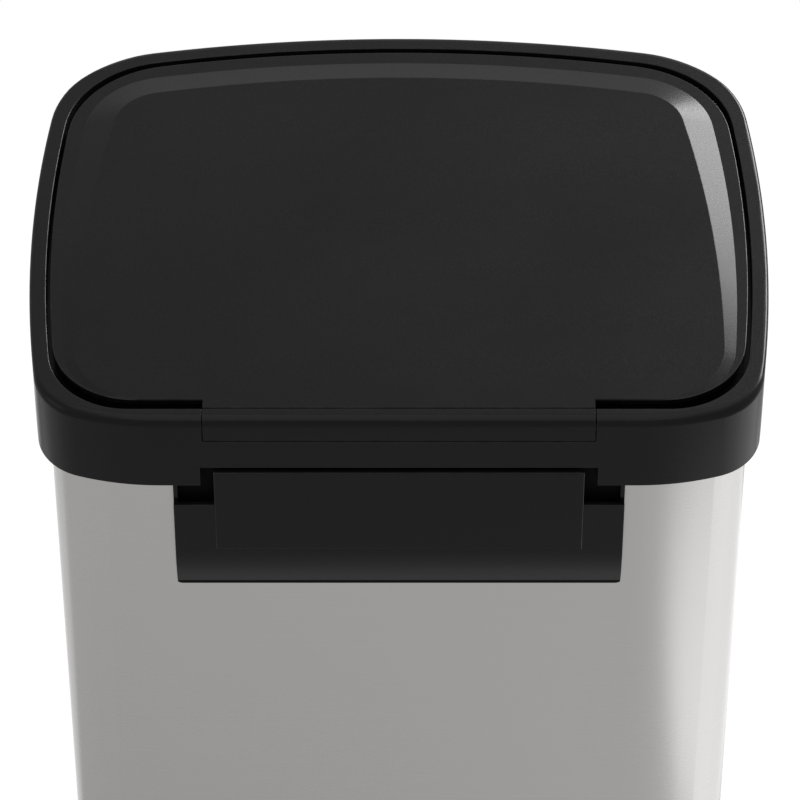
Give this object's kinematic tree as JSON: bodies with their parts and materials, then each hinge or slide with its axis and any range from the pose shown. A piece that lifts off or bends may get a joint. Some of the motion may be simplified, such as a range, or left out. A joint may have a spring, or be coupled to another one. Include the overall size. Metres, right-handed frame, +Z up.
{
  "type": "step recycling bin",
  "caption": "Bow-fronted steel step bin with a black collar and a rear-hinged lid that a foot pedal opens, holding two lift-out buckets side by side.",
  "frame": {"origin": "centre of the bounding box in plan, on the floor under the rubber feet", "axes": "+Z up, +Y towards the hinge side at the rear, the pedal at the front towards -Y, +X to the left of a person who faces the front"},
  "size_m": [0.4034, 0.3388, 0.6451],
  "materials": {
    "black_plastic": "fine-grained black moulding",
    "liner_plastic": "smooth black moulding",
    "satin_steel": "satin stainless sheet with a fine horizontal grain",
    "bucket_grey": "mid grey moulding",
    "bucket_blue": "grey-blue moulding",
    "floor_plastic": "black moulding",
    "guide_plastic": "slippery off-white plastic",
    "soft_rubber": "soft black rubber",
    "sheet_steel": "plain zinc-plated sheet",
    "damper_black": "black tube",
    "bright_steel": "drawn steel bar",
    "screw_steel": "zinc-plated steel"
  },
  "bodies": {
    "bin": {"rim_collar": "black_plastic", "collar_screws": "screw_steel", "hinge_pins": "bright_steel", "body_shell": "satin_steel", "rear_cover": "black_plastic", "cover_screws": "screw_steel", "rod_channel": "sheet_steel", "rod_guides": "guide_plastic", "damper_cylinder": "damper_black", "damper_bracket": "sheet_steel", "base_plinth": "black_plastic", "base_feet": "soft_rubber", "floor_plate": "floor_plastic", "floor_screws": "screw_steel", "pedal_pivot_pin": "bright_steel", "pivot_bushes": "guide_plastic", "pivot_clips": "bright_steel", "pedal_brackets": "sheet_steel", "bracket_screws": "screw_steel", "bucket_right": "bucket_blue", "bucket_left": "bucket_grey"},
    "lid": {"lid_shell": "black_plastic", "lid_liner": "liner_plastic", "lid_screws": "screw_steel", "lid_bumpers": "soft_rubber", "hinge_tail": "black_plastic", "tail_screws": "screw_steel", "lid_crank": "sheet_steel", "crank_pin": "bright_steel", "crank_glide": "guide_plastic"},
    "lift_rod": {"push_rod": "bright_steel", "push_rod_head": "guide_plastic", "push_rod_foot": "guide_plastic", "damper_piston_rod": "bright_steel", "damper_link": "sheet_steel"},
    "pedal": {"pedal_lever": "sheet_steel", "pedal_pad": "black_plastic", "pedal_tread": "soft_rubber", "pedal_rivets": "bright_steel"}
  },
  "joints": [
    {"name": "lid_hinge", "type": "hinge", "parent": "bin", "child": "lid", "pos_m": [0, 0.16275, 0.6293], "axis": [-1, 0, 0], "range_deg": [0, 80]},
    {"name": "rod_lift", "type": "slide", "parent": "bin", "child": "lift_rod", "axis": [0, 0, 1], "range_m": [0, 0.03074]},
    {"name": "pedal_hinge", "type": "hinge", "parent": "bin", "child": "pedal", "pos_m": [0, -0.03375, 0.03], "axis": [1, 0, 0], "range_deg": [0, 9.98]}
  ],
  "couplings": [
    {"joint": "rod_lift", "follows": "lid_hinge", "m_per_rad": 0.022013},
    {"joint": "pedal_hinge", "follows": "lid_hinge", "ratio": 0.12476}
  ]
}
